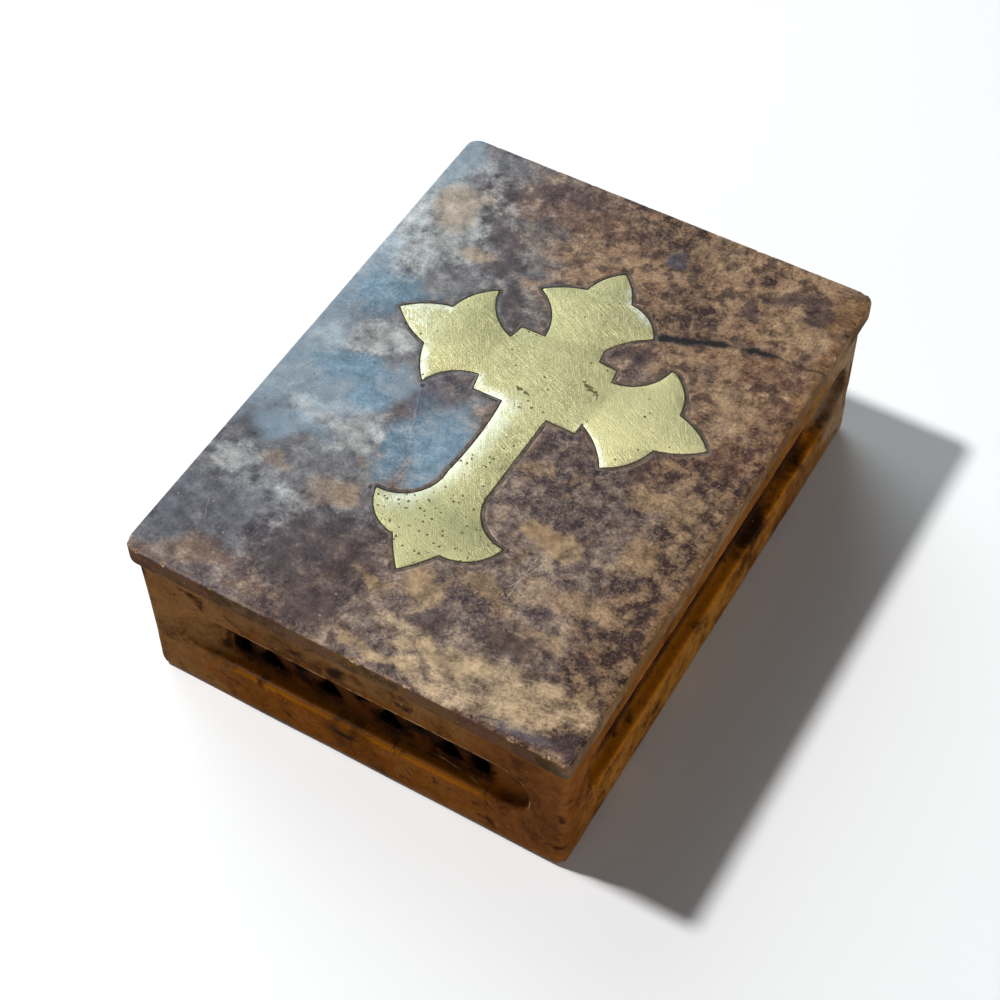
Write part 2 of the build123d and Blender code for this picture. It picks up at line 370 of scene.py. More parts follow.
class BrassFinish(bpy.types.PropertyGroup):
    """Sizes and colours of the brass"""

    rounding: length("Rounding", "Width of the rubbed edge", 0.2 * MM)
    metal: colour("Brass", "Bare metal", (0.472, 0.432, 0.218))
    # painted highlight: near-white tone put where light catches the tips, stem and edges
    painted_highlight: colour("Gleam", "Near-white rubbed metal of tips, stem and edges", (0.84, 0.88, 0.74))
    tarnish: colour("Tarnish", "Greener, duller metal", (0.34, 0.325, 0.159))
    pit: colour("Pits", "Dirt in the pits", (0.1, 0.075, 0.022))
    polish: share("Roughness", "Roughness of the rubbed metal", 0.36)


class CementFinish(bpy.types.PropertyGroup):
    """Sizes and colours of the cement"""

    spread: length("Spread", "How far the cement laps over the pocket's rubbed edge", 0.28 * MM)
    resin: colour("Cement", "Dark cement", (0.024, 0.018, 0.012))
    powder: colour("Powder", "Warm stone dust in the cement", (0.17, 0.122, 0.092))
    cool_powder: colour("Cool powder", "Cool stone dust in the cement", (0.165, 0.172, 0.178))


class StageSettings(bpy.types.PropertyGroup):
    """Floor and light"""

    floor: colour("Floor", "Pale floor", (0.9, 0.9, 0.9))
    sky: share("Sky", "Brightness all round", 0.066, 10)
    window: share("Window", "Brightness of the soft window on the left", 3.0, 10)
    fill: share("Fill", "Brightness of the low fill on the right", 7.4, 20)
    key: share("Key light", "Power of the key light in watts", 11.5, 100)


class Value:
    """Socket of a node tree that can be used in arithmetic."""

    def __init__(self, nodes, socket):
        self.nodes = nodes
        self.socket = socket

    def worked(self, operation, first, second=0.0):
        """Math node on one or two values."""
        return self.nodes.add("ShaderNodeMath", {"operation": operation}, {0: first, 1: second})

    def __add__(self, other):
        return self.worked("ADD", self, other)

    def __radd__(self, other):
        return self.worked("ADD", other, self)

    def __sub__(self, other):
        return self.worked("SUBTRACT", self, other)

    def __rsub__(self, other):
        return self.worked("SUBTRACT", other, self)

    def __mul__(self, other):
        return self.worked("MULTIPLY", self, other)

    def __rmul__(self, other):
        return self.worked("MULTIPLY", other, self)

    def __abs__(self):
        return self.worked("ABSOLUTE", self)

    def most(self, other):
        return self.worked("MAXIMUM", self, other)

    def least(self, other):
        return self.worked("MINIMUM", self, other)

    def rise(self, low, high):
        """0 below low, 1 above high, smooth between them; falls where low is the larger."""
        return self.nodes.add(
            "ShaderNodeMapRange",
            {"interpolation_type": "SMOOTHSTEP"},
            {"Value": self, "From Min": low, "From Max": high},
        )


class Nodes:
    """Node tree of one finish, built node by node."""

    def __init__(self, tree):
        self.tree = tree
        tree.nodes.clear()

    def add(self, kind, settings=None, sockets=None, output=0):
        """Any node: its settings first, then the values or links of its sockets."""
        node = self.tree.nodes.new(kind)
        for name, value in (settings or {}).items():
            if name == "stops":
                self.fill_ramp(node.color_ramp, value)
            else:
                setattr(node, name, value)
        for name, value in (sockets or {}).items():
            if isinstance(value, Value):
                self.tree.links.new(value.socket, node.inputs[name])
            else:
                node.inputs[name].default_value = value
        return Value(self, node.outputs[output]) if node.outputs else None

    def fill_ramp(self, ramp, stops):
        """Places and colours of a ramp's stops."""
        while len(ramp.elements) < len(stops):
            ramp.elements.new(1.0)
        for element, (place, shade) in zip(ramp.elements, stops):
            element.position = place
            element.color = (*shade, 1.0)

    def vector(self, operation, first, second):
        """Vector Math node on two vectors, or for SCALE on a vector and a number."""
        other = "Scale" if operation == "SCALE" else 1
        output = "Value" if operation in ("DOT_PRODUCT", "DISTANCE") else "Vector"
        sockets = {0: first, other: second}
        return self.add("ShaderNodeVectorMath", {"operation": operation}, sockets, output)

    def part(self, point, axis):
        """One coordinate of a point."""
        return self.add("ShaderNodeSeparateXYZ", None, {0: point}, axis)

    def point(self):
        """Place on the piece in millimetres."""
        return self.vector("SCALE", self.add("ShaderNodeTexCoord", output="Object"), 1 / MM)

    def field(self, name):
        """Number kept on the piece's vertices."""
        return self.add("ShaderNodeAttribute", {"attribute_name": name}, output="Fac")

    def noise(self, point, size, detail=4.0, rough=0.6, bend=0.0):
        """Cloudy noise with features of about this size in millimetres."""
        return self.add(
            "ShaderNodeTexNoise",
            None,
            {"Vector": point, "Scale": 1 / size, "Detail": detail, "Roughness": rough, "Distortion": bend},
        )

    def bent(self, point, size, reach):
        """The point pushed about by a coarse noise, so that outlines wander."""
        sockets = {"Vector": point, "Scale": 1 / size, "Detail": 2.0}
        push = self.add("ShaderNodeTexNoise", None, sockets, "Color")
        push = self.vector("SUBTRACT", push, (0.5, 0.5, 0.5))
        return self.vector("ADD", point, self.vector("SCALE", push, reach))

    def streaks(self, point, turn, long, wide):
        """The point turned and stretched, for scratches that run at this angle in degrees."""
        return self.add(
            "ShaderNodeMapping",
            {"vector_type": "TEXTURE"},
            {"Vector": point, "Rotation": (0, 0, math.radians(turn)), "Scale": (long, wide, wide)},
        )

    def grains(self, point, size, outline, rare, more=0.0, axis="X"):
        """Round grains in those cells whose random number, raised by more, is high enough."""
        sockets = {"Vector": point, "Scale": 1 / size}
        pick = self.part(self.add("ShaderNodeTexVoronoi", None, sockets, "Color"), axis)
        gap = self.add("ShaderNodeTexVoronoi", None, sockets, "Distance")
        return gap.rise(*outline) * (pick + more).rise(*rare)

    def near(self, point, places):
        """Distance from the point to a line through the places."""
        gaps = []
        for start, end in zip(places, places[1:]):
            run = [b - a for a, b in zip(start, end)]
            offset = self.vector("SUBTRACT", point, start)
            sockets = {0: self.vector("DOT_PRODUCT", offset, run), 1: 1 / sum(r * r for r in run)}
            along = self.add("ShaderNodeMath", {"operation": "MULTIPLY", "use_clamp": True}, sockets)
            gaps.append(self.vector("DISTANCE", offset, self.vector("SCALE", run, along)))
        return reduce(Value.least, gaps)

    def drawn(self, point, lines, outer, inner):
        """Lines on the lid's top: 1 within the inner distance, 0 past the outer one."""
        return reduce(Value.most, [self.near(point, flat(line)).rise(outer, inner) for line in lines])

    def solid(self, shade):
        """What a colour socket takes: a link as it is, or a plain colour with its alpha."""
        return shade if isinstance(shade, Value) else (*shade, 1.0)

    def mix(self, first, second, mask):
        """Second colour over the first one."""
        shades = {0: mask, 6: self.solid(first), 7: self.solid(second)}
        return self.add("ShaderNodeMix", {"data_type": "RGBA"}, shades, 2)

    def layered(self, shade, layers):
        """The shade under layers of colour, each with its own mask."""
        for tint, mask in layers:
            shade = self.mix(shade, tint, mask)
        return shade

    def ramp(self, value, dark, middle, light):
        """Dark, middle and light tone for a noise's low, middle and high values."""
        stops = ((0.385, dark), (0.5, middle), (0.625, light))
        return self.add("ShaderNodeValToRGB", {"stops": stops}, {0: value})

    def bump(self, height, depth):
        """Normal from a height, with the depth that a height of 1 stands for."""
        sockets = {"Height": height, "Strength": 1.0, "Distance": depth}
        return self.add("ShaderNodeBump", None, sockets, "Normal")


def finish_of(name):
    """New material and its nodes."""
    material = bpy.data.materials.new(name)
    material.use_nodes = True
    return material, Nodes(material.node_tree)


def close_finish(nodes, sockets):
    """Surface shader with these sockets, wired to the output."""
    surface = nodes.add("ShaderNodeBsdfPrincipled", None, sockets)
    nodes.add("ShaderNodeOutputMaterial", None, {"Surface": surface})


def flat(places):
    """Points on the lid's top from their X and Y."""
    return [(x, y, lid_top) for x, y in places]


def scaled(tint, factor):
    """A colour made lighter or darker."""
    return tuple(min(1.0, factor * value) for value in tint)


def lid_finish(tones):
    """Waxed, mottled soapstone."""
    material, nodes = finish_of("mottled_soapstone")
    point = nodes.point()
    across = nodes.part(point, "X")
    along = nodes.part(point, "Y")
    bent = nodes.bent(point, 4.0, 2.4)
    loose = nodes.bent(point, 2.6, 0.8)
    coarse = nodes.noise(bent, 8.0, 4.0, 0.6, 0.3)
    group = nodes.noise(bent, 4.0, 3.0, 0.55)
    medium = nodes.noise(loose, 2.1, 4.0, 0.6, 0.2)
    fine = nodes.noise(point, 0.5, 3.0, 0.72)
    lean = coarse * 0.2 + group * 0.26 + medium * 0.4 + fine * 0.14 - 0.5
    far = along.rise(18.0, 44.0).most(along.rise(-34.0, -48.0) * 0.7)
    cool = (across + (coarse - 0.5) * 36 + along * -0.06 + far * 15).rise(0.0, -18.0)
    brown = (nodes.field("brown") + (coarse - 0.5) * 1.5).rise(0.1, 0.8)

    # flecks that run together, in the tones of each end, then the dark specks in clusters
    value = medium * 0.45 + group * 0.25 + coarse * 0.12 + fine * 0.18
    value = value - nodes.field("gloom").rise(0.0, 0.9) * 0.072
    drift = nodes.noise(nodes.bent(point, 3.0, 2.0), 2.2, 4.0, 0.65, 0.5)
    swarm = nodes.noise(loose, 2.6, 3.0, 0.55, 0.1)
    clusters = (swarm * 0.5 + group * 0.24 + fine * 0.14 - medium * 0.12 + 0.12).rise(0.512, 0.56)
    shade = nodes.layered(nodes.ramp(value, tones.mauve_dark, tones.mauve, tones.mauve_light), (
        (nodes.ramp(value, tones.brown_dark, tones.brown, tones.brown_light), brown),
        (nodes.ramp(value, tones.cool_dark, tones.cool, tones.cool_light), cool),
        (tones.tan, drift.rise(0.54, 0.66) * (0.5 - cool * 0.42)),
        (tones.plum, drift.rise(0.44, 0.32) * 0.34),
        (nodes.mix(tones.dark, tones.cool_dark, cool), clusters * (0.62 + brown * 0.14 - cool * 0.22)),
    ))

    # clouds: kind, strength, how much its outline follows the grain, and its outline's width
    lift = lean * 5.0 + 1.0
    for kind, strength, follow, width in (
        ("sand", 0.4, 4.5, 0.8), ("tan", 0.6, 3.0, 0.7), ("rust", 0.45, -5.0, 0.7),
        ("pale", 0.55, 2.5, 0.9), ("bright", 0.42, 2.0, 1.0), ("slate", 0.68, -2.0, 0.8),
        ("plum", 0.74, -4.0, 0.8), ("ochre", 0.62, 4.0, 0.8), ("cream", 0.74, 3.0, 0.8),
        ("amber", 0.7, 2.5, 0.7),
    ):
        place = nodes.field(kind)
        mask = (place + lean * follow).rise(0.04, 0.04 + width) * place.rise(0.0, 0.25) * strength
        if kind in ("tan", "ochre"):
            mask = mask * (1.0 - cool * 0.3)
        shade = nodes.mix(shade, nodes.vector("SCALE", getattr(tones, kind), lift), mask)

    # fine pepper and salt, less on the smooth clouds, then the painted reflection of the window: its blue
    # sheen and the steel blue clouds
    smooth = [nodes.field(kind) for kind in ("ochre", "pale", "haze", "plum", "slate")]
    smooth = reduce(Value.most, smooth).most(cool * 0.7).least(1.0)
    rough = 1.0 - smooth * 0.75
    pepper = nodes.noise(point, 0.7, 3.0, 0.78)
    # steel blue clouds: painted reflection of the window, ramped up to the blue sheen
    steel = nodes.field("steel")
    blue = (steel - lean * 2.5).rise(0.04, 0.94) * steel.rise(0.0, 0.25)
    shade = nodes.layered(shade, (
        (scaled(tones.dark, 1.3), pepper.rise(0.56, 0.64) * 0.36 * rough),
        (nodes.mix(tones.sand, tones.cool_light, cool), pepper.rise(0.45, 0.35) * 0.26 * rough),
        (tones.haze, (nodes.field("haze") + (coarse - 0.5) * 0.8).rise(0.05, 0.75) * 0.46),
        (nodes.ramp(value, scaled(tones.steel, 0.55), tones.steel, tones.haze), blue * 0.72),
    ))
    shade = nodes.vector("SCALE", shade, (fine - 0.5) * 1.7 * rough + 1.0)

    # thin pale wisps and threads, combed streaks in the cream, light grains and dark specks
    ridge = abs(nodes.noise(nodes.streaks(bent, 8, 2.0, 1.0), 2.2, 4.0, 0.62, 0.8) - 0.5)
    wisps = ridge.rise(0.02, 0.0) * nodes.noise(point, 5.0, 3.0).rise(0.46, 0.62)
    threads = abs(nodes.noise(bent, 1.3, 3.0, 0.6, 0.6) - 0.5).rise(0.026, 0.0)
    threads = threads * nodes.noise(point, 3.4, 3.0).rise(0.46, 0.6) * 0.8 * (1.0 - cool * 0.9)
    combed = wisps.most(threads) * (0.5 - brown * 0.34) * rough
    creamy = nodes.field("cream").rise(0.1, 0.6)
    streak = nodes.noise(nodes.streaks(bent, 12, 11.0, 0.7), 1.0, 3.0, 0.55)
    specks = nodes.noise(point, 1.0, 3.0, 0.75).rise(0.63, 0.68)
    shade = nodes.layered(shade, (
        (nodes.mix(tones.rose, tones.cool_light, cool), combed * (1.0 - cool.most(creamy) * 0.6)),
        (scaled(tones.cream, 1.45), streak.rise(0.52, 0.66) * creamy * 0.38),
        (scaled(tones.cream, 0.55), streak.rise(0.48, 0.34) * creamy * 0.34),
        (tones.fresh, nodes.grains(point, 1.1, (0.24, 0.11), (0.965, 0.98)) * 0.38),
        (scaled(tones.dark, 0.8), specks * 0.65),
    ))

    # amber sides, the right side painted lighter than the near side as light falls on it, worn edges and
    # chips
    side = nodes.field("side")
    # the right side painted lighter, as painted light
    lit_right_side = nodes.mix(tones.edge, tones.lit_right_side, across.rise(34.0, 38.0))
    dim = nodes.vector("SCALE", lit_right_side, 0.55)
    side_tone = nodes.mix(lit_right_side, dim, (coarse * 0.6 + medium * 0.4).rise(0.55, 0.45))
    for kind in ("honey", "olive", "rust"):
        mask = (nodes.field(kind) + lean * 4.0).rise(0.1, 0.8) * 0.7
        side_tone = nodes.mix(side_tone, getattr(tones, kind), mask)
    worn = (nodes.field("edge") + (medium - 0.5) * 2.4).rise(0.55, 1.0)
    crumbs = (nodes.field("chip") + (fine - 0.5) * 2.5).rise(0.3, 0.65)
    crumb_tone = nodes.mix(tones.fresh, tones.rub, nodes.noise(point, 0.9, 2.0).rise(0.34, 0.46))
    shade = nodes.layered(shade, (
        (side_tone, side.rise(0.15, 0.6) * 0.94),
        # worn edges: rubbed stone, with a painted highlight on the cool left side
        (nodes.mix(tones.rub, tones.painted_highlight, cool), worn * (cool * 0.3 + 0.4)),
        (crumb_tone, crumbs * nodes.noise(point, 0.5, 2.0).rise(0.4, 0.54) * 0.9),
    ))

    # dust along the joint, slips of the cutter, scratches and the crack
    dust = (nodes.field("joint") + (medium - 0.5) * 3.0).rise(0.7, 1.3)
    marks = nodes.drawn(nodes.bent(point, 1.4, 0.5), lid_scratches, 0.13, 0.03)
    hair = nodes.noise(nodes.streaks(point, 118, 9.0, 0.13), 1.0, 2.0, 0.5).rise(0.6, 0.68)
    hair = hair * steel.rise(0.1, 0.5)
    swell = across.rise(9.0, 11.0) * across.rise(23.5, 21.5)
    swell = swell.most(across.rise(24.5, 26.0) * across.rise(31.0, 28.0))
    gap = nodes.near(nodes.bent(point, 2.0, 1.0), flat(lid_crack))
    crack = swell * 0.36 + 0.3 + (medium + fine - 1.0) * 2.0 * (swell * 0.8 + 0.2) - gap
    crack = crack.rise(-0.22, 0.5)
    halo = (swell * 1.1 + (medium - 0.5) * 4.0 - gap).rise(-0.1, 0.9)
    shade = nodes.layered(shade, (
        (tones.rub, dust * 0.3 * (1.0 - side)),
        (scaled(tones.dark, 0.8), nodes.field("slip").rise(0.25, 0.6) * 0.8),
        (tones.rose, marks.most(hair * 0.6) * (0.65 - cool * 0.35)),
        (scaled(tones.slate, 0.45), halo * 0.62),
        (tones.vein, crack * 0.92),
    ))

    height = nodes.noise(point, 2.2, 5.0, 0.62) * 0.5 + fine * 0.2
    height = height - crack * 0.8 - marks * 0.25 - hair * 0.15 - specks * 0.2 - crumbs * fine
    bare = nodes.field("rim").most(side.rise(0.0, 0.5)).most(crumbs)
    close_finish(nodes, {
        "Base Color": shade,
        "Roughness": (medium - 0.5) * 0.5 + 0.45 + bare * 0.2,
        "Specular IOR Level": 0.0,
        "Coat Weight": 0.45 - bare * 0.42 - crack * 0.2,
        "Coat Roughness": 0.24,
        "Normal": nodes.bump(height, 0.07 * MM),
    })
    return material


def body_finish(tones):
    """Waxed amber soapstone."""
    material, nodes = finish_of("amber_soapstone")
    point = nodes.point()
    bent = nodes.bent(point, 6.0, 3.0)
    coarse = nodes.noise(bent, 9.0, 4.0, 0.6, 0.4)
    medium = nodes.noise(bent, 2.6, 5.0, 0.68, 0.5)
    fine = nodes.noise(point, 0.6, 3.0, 0.7)
    lean = coarse * 0.46 + medium * 0.38 + fine * 0.16 - 0.5
    shade = nodes.mix(tones.bark, tones.amber, lean.rise(-0.1, 0.0))
    shade = nodes.mix(shade, scaled(tones.amber, 1.5), lean.rise(0.0, 0.13))
    lift = lean * 4.5 + 1.0
    clouds = (("umber", 0.85), ("russet", 0.8), ("honey", 0.85), ("gold", 0.85), ("ash", 0.85))
    for kind, strength in clouds:
        mask = (nodes.field(kind) + lean * 2.5).rise(0.05, 0.75) * strength
        shade = nodes.mix(shade, nodes.vector("SCALE", getattr(tones, kind), lift), mask)

    # the recesses' ledges with painted light, brighter on the right side, their back walls with painted
    # shade, the openings and the hollow behind them painted near-black as shade, stain and shade round
    # the openings, then soft dark flecks in loose swarms, the inclusions with their brown halos, worn
    # edges and painted shade in the nooks
    red = nodes.noise(bent, 5.0, 4.0, 0.6).rise(0.52, 0.68)
    # painted light on the recesses' up-facing ledges, stronger on the right side
    right = nodes.part(point, "X").rise(33.0, 34.0)
    glow = nodes.vector("SCALE", tones.glow, right * 0.45 + lean * 3.0 + 1.0)
    ledge = nodes.field("ledge")
    wall = nodes.field("wall")
    hole = nodes.field("hole")
    swarm = nodes.noise(point, 8.0, 2.0).rise(0.44, 0.62)
    flecks = nodes.noise(bent, 1.5, 3.0, 0.66, 0.5).rise(0.56, 0.7) * swarm
    ragged = nodes.field("soot") - lean * 4.5
    soot = ragged.rise(0.5, 1.05)
    worn = (nodes.field("edge") + (medium - 0.5) * 1.8).rise(0.5, 1.0)
    shade = nodes.layered(shade, (
        (tones.russet, red * 0.5),
        (glow, (ledge + lean * 2.5).rise(0.1, 0.8) * 0.9),
        # painted shade on the recesses' back walls and roofs
        (scaled(tones.stain, 1.15), (wall + lean * 1.5).rise(0.0, 0.7) * 0.9),
        (scaled(tones.stain, 0.4), (nodes.field("stain") + lean * 5.0).rise(0.25, 0.95) * 0.92),
        # painted shade: the openings' walls and the hollow behind them near-black
        (scaled(tones.soot, 0.6), (hole + lean * 2.5).rise(0.15, 0.55) * 0.95),
        (scaled(tones.russet, 0.45), ragged.rise(0.1, 0.6) * 0.7),
        (tones.soot, (soot * 0.85).most(flecks * 0.45)),
        (tones.dust, worn * 0.3),
        # painted shade in the nooks
        (tones.soot, nodes.field("nook").rise(0.25, 0.9) * 0.5),
    ))

    # painted highlights along the recesses' lips, one dark line, and pale grains
    wander = nodes.bent(point, 2.0, 0.3)
    broken = nodes.noise(point, 2.0, 3.0).rise(0.38, 0.62)
    for light, width, squeeze, places in lip_lines:
        squeezed = [[a * b for a, b in zip(place, squeeze)] for place in places]
        gap = nodes.near(nodes.vector("MULTIPLY", wander, squeeze), squeezed)
        line = gap.rise(width * 2.0, width * 0.6) * broken
        shade = nodes.mix(shade, tones.dust if light else tones.soot, line * 0.6)
    grains = nodes.grains(point, 1.1, (0.2, 0.09), (0.95, 0.97), ledge.rise(0.1, 0.6) * 0.1)
    grains = grains * (1.0 - hole.most(wall).rise(0.0, 0.4))
    shade = nodes.mix(shade, tones.dust, grains * 0.5)

    rubbed = nodes.noise(nodes.streaks(point, 0, 6.0, 0.35), 1.0, 3.0)
    height = nodes.noise(point, 3.0, 4.0, 0.6) * 0.6 + fine * 0.16 + rubbed * 0.12 - soot * 0.12
    close_finish(nodes, {
        "Base Color": shade,
        "Roughness": (medium - 0.5) * 0.5 + 0.45 + soot * 0.08,
        "Specular IOR Level": 0.0,
        "Coat Weight": ledge.rise(0.2, 0.8) * 0.14 + 0.035,
        "Coat Roughness": 0.3,
        "Normal": nodes.bump(height, 0.09 * MM),
    })
    return material


def brass_finish(tones):
    """Rubbed sheet brass with scratches and pits."""
    material, nodes = finish_of("rubbed_brass")
    point = nodes.point()
    across = nodes.part(point, "X")
    down = nodes.part(point, "Y")
    cloud = nodes.noise(point, 5.0, 4.0, 0.6, 0.3)
    fine = nodes.noise(point, 0.2, 3.0, 0.75)
    speck = nodes.noise(point, 0.9, 3.0, 0.7)
    brushed, slanted, upright = (
        nodes.noise(nodes.streaks(point, turn, long, wide), 1.0, 3.0, 0.7)
        for turn, long, wide in ((124, 3.5, 0.16), (-24, 3.0, 0.18), (82, 4.0, 0.2))
    )
    here = nodes.noise(point, 6.0, 2.0, 0.5).rise(0.4, 0.6)
    lines = brushed.rise(0.5, 0.66) * (1.0 - here) + slanted.rise(0.5, 0.66) * here
    lines = (lines + upright.rise(0.54, 0.7) * 0.6).least(1.0)
    dull = (brushed + slanted + upright - 1.5).rise(-0.02, -0.22)

    # small pits, crowded down the stem, and the larger ones in the middle
    crowd = nodes.noise(point, 4.0, 2.0).rise(0.5, 0.66) * 0.3 + down.rise(-2.0, -12.0) * 0.52
    pits = nodes.grains(nodes.bent(point, 0.8, 0.5), 0.9, (0.3, 0.14), (0.97, 1.0), crowd, "Y")
    ragged = (nodes.noise(point, 0.7, 2.0, 0.6) - 0.5) * 1.7
    for radius, places in brass_pits:
        gap = nodes.near(point, flat(places))
        pits = pits.most((gap * -1.0 + ragged + radius).rise(0.0, 0.16))

    # metal and tarnish, then painted highlights on the left tip, along the edges and down the stem, and
    # what is dull
    tip = across.rise(-17.0, -27.0) * (speck * 0.5 + brushed * 0.5).rise(0.44, 0.58)
    # painted highlights along the listed edges of the brass
    rubbed = nodes.drawn(point, highlit_edges, 1.5, 0.2)
    tip = tip.most(rubbed * (speck * 0.5 + upright * 0.5).rise(0.4, 0.56))
    sheen = nodes.drawn(point, (painted_stem_sheen,), 4.6, 0.4)
    worn_dark = nodes.drawn(point, (dull_streak,), 2.6, 0.4)
    shade = nodes.layered(tones.metal, (
        (tones.tarnish, (cloud * 0.4 + speck * 0.6).rise(0.44, 0.6) * 0.6),
        (scaled(tones.metal, 1.6), lines * 0.7),
        (scaled(tones.tarnish, 0.7), dull * 0.65),
        (scaled(tones.tarnish, 0.65), fine.rise(0.51, 0.59) * 0.6),
        (scaled(tones.metal, 1.5), fine.rise(0.47, 0.38) * 0.5),
        (scaled(tones.tarnish, 0.85), down.rise(-16.0, -24.0) * 0.7),
        (scaled(tones.metal, 1.35), across.rise(6.0, 16.0) * 0.5),
        (tones.painted_highlight, tip * 0.7),
        (tones.painted_highlight, sheen * (cloud * 0.5 + brushed * 0.5).rise(0.34, 0.6) * 0.62),
        (scaled(tones.tarnish, 0.72), worn_dark * (cloud + speck - 0.5).rise(0.34, 0.62) * 0.6),
        (tones.pit, pits * 0.92),
    ))
    height = speck * 0.6 + fine * 0.5 - lines * 0.25 - pits * 0.7 + brushed * 0.4
    close_finish(nodes, {
        "Base Color": shade,
        "Metallic": 0.7 - pits * 0.4,
        "Roughness": cloud * 0.3 + (tones.polish - 0.15) + pits * 0.3 + fine * 0.1,
        "Normal": nodes.bump(height, 0.09 * MM),
    })
    return material


def cement_finish(tones):
    """Dark setting cement by the brass, with stone dust rubbed into its outer side."""
    material, nodes = finish_of("setting_cement")
    point = nodes.point()
    dust = (nodes.noise(point, 1.1, 4.0, 0.7) - 0.5) * 0.9 + nodes.field("outer")
    spread = nodes.noise(point, 5.0, 2.0).rise(0.38, 0.58)
    cool = (nodes.part(point, "X") + (nodes.noise(point, 8.0, 4.0) - 0.5) * 36).rise(0.0, -14.0)
    grit = nodes.noise(point, 1.4, 3.0, 0.7).rise(0.46, 0.58)
    stone = nodes.layered(tones.powder, ((tones.cool_powder, cool), (tones.resin, grit * 0.5)))
    shade = nodes.mix(tones.resin, stone, dust.rise(0.04, 0.46) * (0.55 + spread * 0.4))
    close_finish(nodes, {
        "Base Color": shade,
        "Roughness": nodes.noise(point, 0.5, 3.0) * 0.3 + 0.55,
        "Specular IOR Level": 0.2,
        "Normal": nodes.bump(nodes.noise(point, 0.5, 4.0, 0.7), 0.1 * MM),
    })
    return material


def placed(name, data):
    """New object in the scene."""
    piece = bpy.data.objects.new(name, data)
    bpy.context.scene.collection.objects.link(piece)
    return piece


def mesh_of(bm, name):
    """New mesh from a bmesh, which is freed."""
    mesh = bpy.data.meshes.new(name)
    bm.to_mesh(mesh)
    bm.free()
    return mesh


def cad_copy(node):
    """Merged copy of a CAD solid's mesh."""
    bm = bmesh.new()
    bm.from_mesh(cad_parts[node].data)
    bmesh.ops.remove_doubles(bm, verts=bm.verts, dist=merge_gap)
    return bm


def brass_tree():
    """The brass cross, ready to be asked for its nearest point."""
    bm = cad_copy("brass_cross")
    brass = BVHTree.FromBMesh(bm)
    bm.free()
    return brass


def new_piece(name, mesh, material, body, node):
    """Piece that stands for one CAD solid and moves with its body."""
    piece = placed(name, mesh)
    mesh.materials.clear()
    mesh.materials.append(material)
    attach(piece, body)
    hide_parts(node)


def finished_mesh(block, name):
    """The block's mesh with its modifiers applied; the block itself goes."""
    graph = bpy.context.evaluated_depsgraph_get()
    mesh = bpy.data.meshes.new_from_object(block.evaluated_get(graph), depsgraph=graph)
    raw = block.data
    bpy.data.objects.remove(block)
    bpy.data.meshes.remove(raw)
    mesh.name = name
    return mesh


def even_mesh(node, name, grain):
    """A CAD solid in small even quads, ready to be carved and rubbed."""
    block = placed(name, mesh_of(cad_copy(node), name))
    remesh = block.modifiers.new("even grain", "REMESH")
    remesh.mode = "VOXEL"
    remesh.voxel_size = grain * 1
    return finished_mesh(block, name)


def held(values):
    """The values held between 0 and 1."""
    return np.clip(values, 0, 1)


def softened(mesh, weights, turns):
    """The mesh rubbed round where the weights say so."""
    block = placed(mesh.name, mesh)
    group = block.vertex_groups.new(name="soft")
    steps = np.round(held(weights) * 10).astype(int)
    for step in range(1, 11):
        group.add(np.flatnonzero(steps == step).tolist(), step / 10, "REPLACE")
    rub = block.modifiers.new("rub", "SMOOTH")
    rub.factor = 0.5
    rub.iterations = turns
    rub.vertex_group = group.name
    return finished_mesh(block, mesh.name)


def thinned(mesh):
    """The mesh with its flat parts in fewer triangles, so that it keeps within the limit."""
    triangles = sum(len(face.vertices) - 2 for face in mesh.polygons)
    if triangles > most_triangles:
        block = placed(mesh.name, mesh)
        thin = block.modifiers.new("thin", "DECIMATE")
        thin.ratio = most_triangles / triangles
        mesh = finished_mesh(block, mesh.name)
    mesh.polygons.foreach_set("use_smooth", [True] * len(mesh.polygons))
    return mesh


def places_of(mesh):
    """Vertex places of a mesh in millimetres."""
    places = np.empty(len(mesh.vertices) * 3)
    mesh.vertices.foreach_get("co", places)
    return places.reshape(-1, 3) / MM


def normals_of(mesh):
    """Vertex normals of a mesh."""
    normals = np.empty(len(mesh.vertices) * 3)
    mesh.vertices.foreach_get("normal", normals)
    return normals.reshape(-1, 3)


def keep_places(mesh, places):
    """Moves the mesh's vertices to these places in millimetres."""
    mesh.vertices.foreach_set("co", (places * MM).ravel())
    mesh.update()


def keep_fields(mesh, fields):
    """Numbers kept on the vertices for the finish to read."""
    for name, values in fields.items():
        field = mesh.attributes.new(name, "FLOAT", "POINT")
        field.data.foreach_set("value", values.astype(np.float32))


def side_depth(places, high):
    """How far each place lies in from the nearest side of a box with this highest corner."""
    return np.minimum(high[0] - np.abs(places[:, 0]), high[1] - np.abs(places[:, 1]))


def distance_from(places, chosen):
    """Distance of each place from the nearest of the chosen ones."""
    picked = np.flatnonzero(chosen)
    tree = KDTree(len(picked))
    for number, place in enumerate(places[picked]):
        tree.insert(place, number)
    tree.balance()
    return np.array([tree.find(place)[2] for place in places])


def distance_from_brass(places):
    """Distance of each place from the brass cross, in millimetres."""
    brass = brass_tree()
    gaps = [brass.find_nearest(Vector(place) * MM)[3] for place in places]
    return np.array(gaps) / MM


def edge_and_nook(mesh, turns):
    """How sharply each vertex stands out of its neighbours, and how deep it lies in a corner."""
    bm = bmesh.new()
    bm.from_mesh(mesh)
    for _ in range(turns):
        bmesh.ops.smooth_vert(
            bm, verts=bm.verts, factor=0.5, use_axis_x=True, use_axis_y=True, use_axis_z=True
        )
    rubbed = np.array([vert.co for vert in bm.verts]) / MM
    bm.free()
    bulge = ((places_of(mesh) - rubbed) * normals_of(mesh)).sum(axis=1)
    return held(bulge / 0.12), held(-bulge / 0.12)


